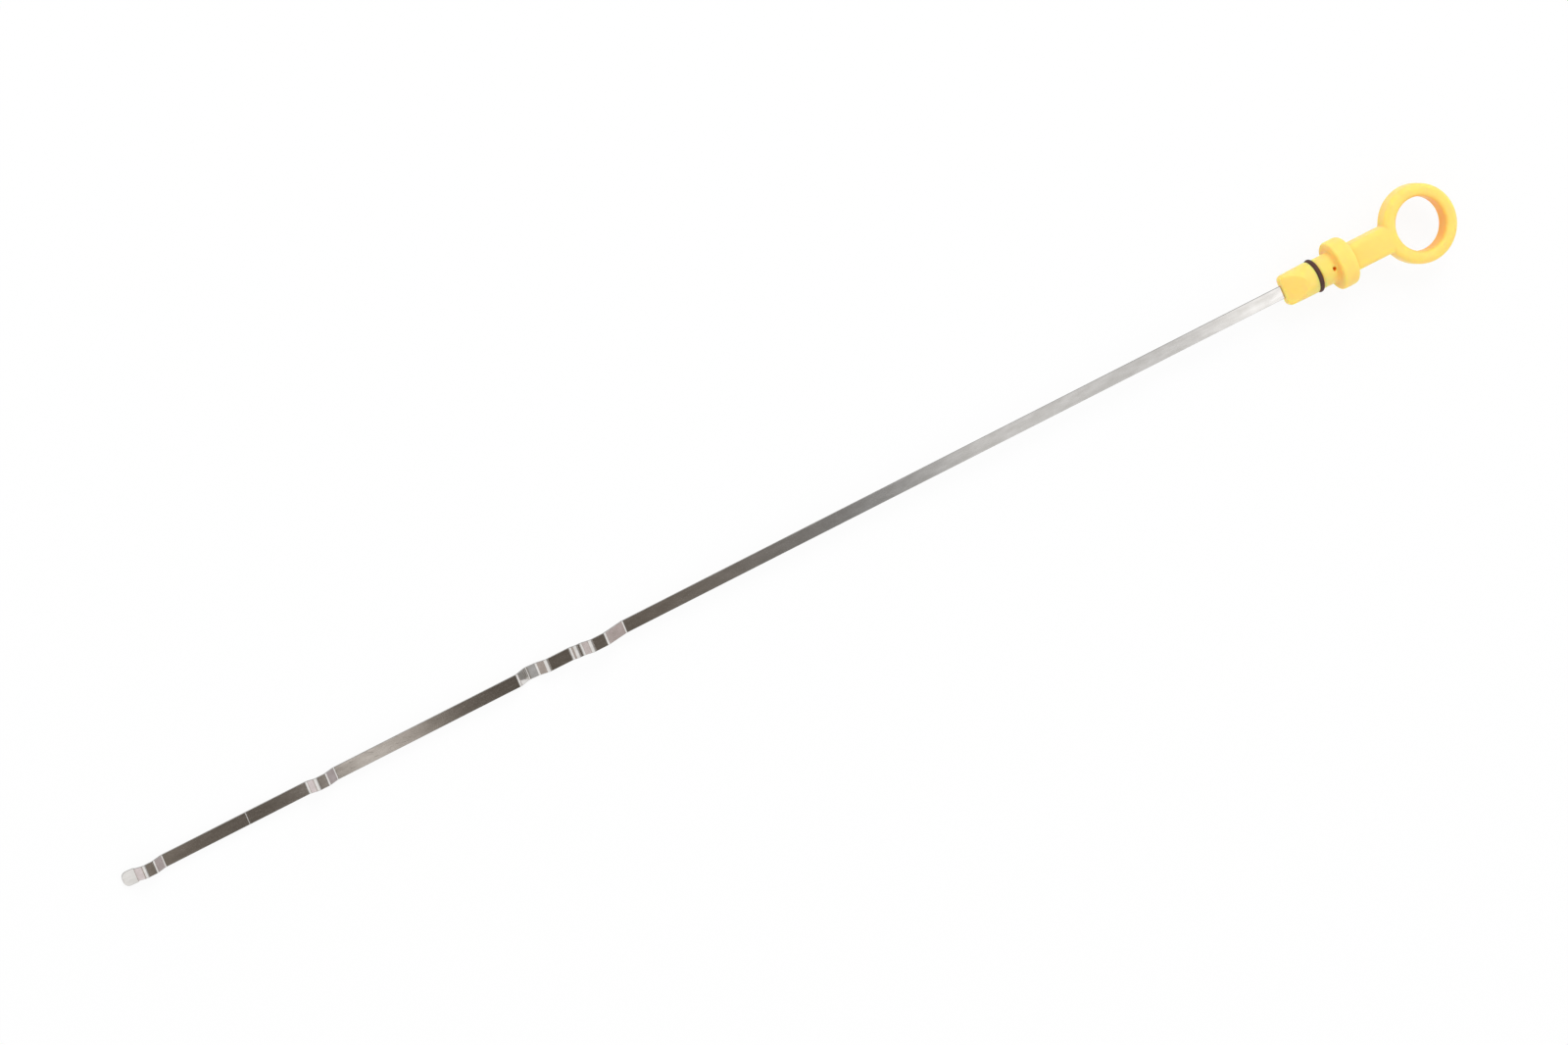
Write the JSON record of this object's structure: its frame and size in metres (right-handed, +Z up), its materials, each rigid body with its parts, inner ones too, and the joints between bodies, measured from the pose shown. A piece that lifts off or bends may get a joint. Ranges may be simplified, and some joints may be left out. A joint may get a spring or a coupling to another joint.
{
  "type": "engine oil dipstick",
  "caption": "Joggled steel strip with a level line, moulded into a yellow plastic finger-ring handle whose collar, plug and rubber ring close the guide tube.",
  "frame": {"origin": "on the surface that it lies on, under the middle of its bounding box", "axes": "+X along the strip from the tip towards the finger ring, +Y across the strip, +Z up out of the finger ring's plane"},
  "size_m": [0.6024, 0.0308, 0.0196],
  "materials": {
    "strip_steel": "bright rolled spring steel with a faint lengthwise grain",
    "yellow_plastic": "smooth moulded nylon, warm yellow, semi-gloss",
    "seal_rubber": "oiled nitrile rubber, near black"
  },
  "bodies": {
    "root": {"blade": "strip_steel", "handle": "yellow_plastic", "o_ring": "seal_rubber"}
  },
  "joints": []
}
